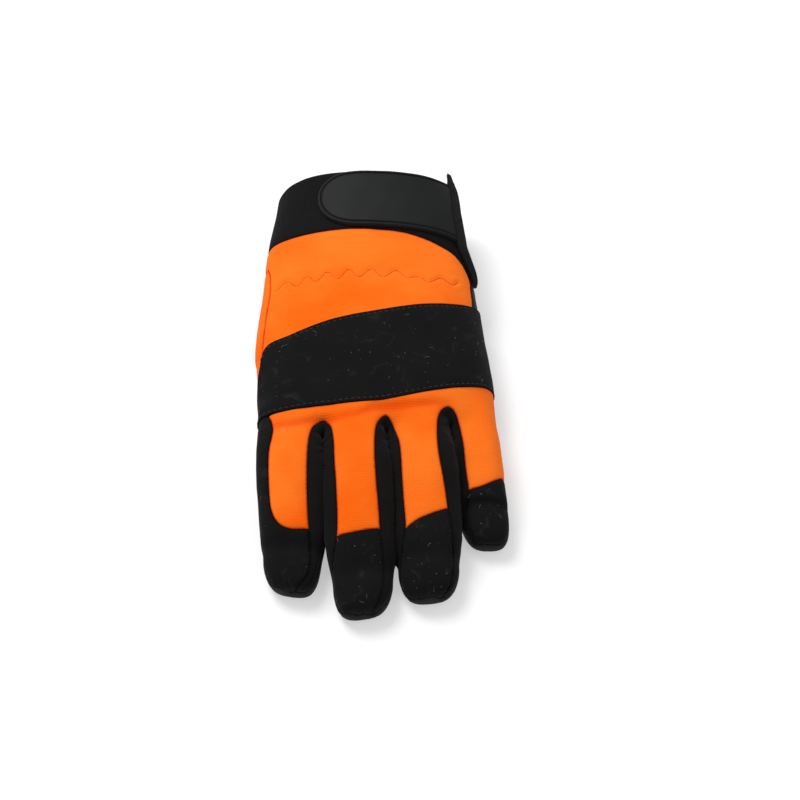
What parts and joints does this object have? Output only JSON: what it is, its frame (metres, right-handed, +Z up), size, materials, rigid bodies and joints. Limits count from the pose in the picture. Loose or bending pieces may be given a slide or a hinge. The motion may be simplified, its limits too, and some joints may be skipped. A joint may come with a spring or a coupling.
{
  "type": "chainsaw glove",
  "caption": "Left-hand work glove with a fabric back, a suede knuckle patch, capped fingertips and a hook-and-loop wrist strap, lying palm down.",
  "frame": {"origin": "on the surface it lies on, under the middle of the glove", "axes": "+X to the little finger's side, +Y from the fingertips to the cuff, +Z up from the palm to the back of the hand"},
  "size_m": [0.1276, 0.251, 0.0558],
  "materials": {
    "orange_fabric": "bright orange stretch fabric, matt, finely knitted",
    "black_suede": "black synthetic suede, matt",
    "black_knit": "black knitted fabric, matt",
    "black_leather": "black synthetic leather, slightly grained",
    "black_neoprene": "black neoprene with a fabric face",
    "strap_rubber": "dark grey moulded rubber, satin",
    "black_binding": "black woven edge tape"
  },
  "bodies": {
    "root": {"back_panel": "orange_fabric", "knuckle_band": "black_suede", "index_tip": "black_suede", "middle_tip": "black_suede", "ring_tip": "black_suede", "little_tip": "black_suede", "fourchette_index_middle": "black_knit", "fourchette_middle_ring": "black_knit", "fourchette_ring_little": "black_knit", "palm_panel": "black_leather", "index_front": "black_leather", "middle_front": "black_leather", "ring_front": "black_leather", "little_front": "black_leather", "thumb_back": "orange_fabric", "thumb_front": "black_leather", "cuff": "black_neoprene", "wrist_strap": "strap_rubber", "strap_binding": "black_binding"}
  },
  "joints": []
}
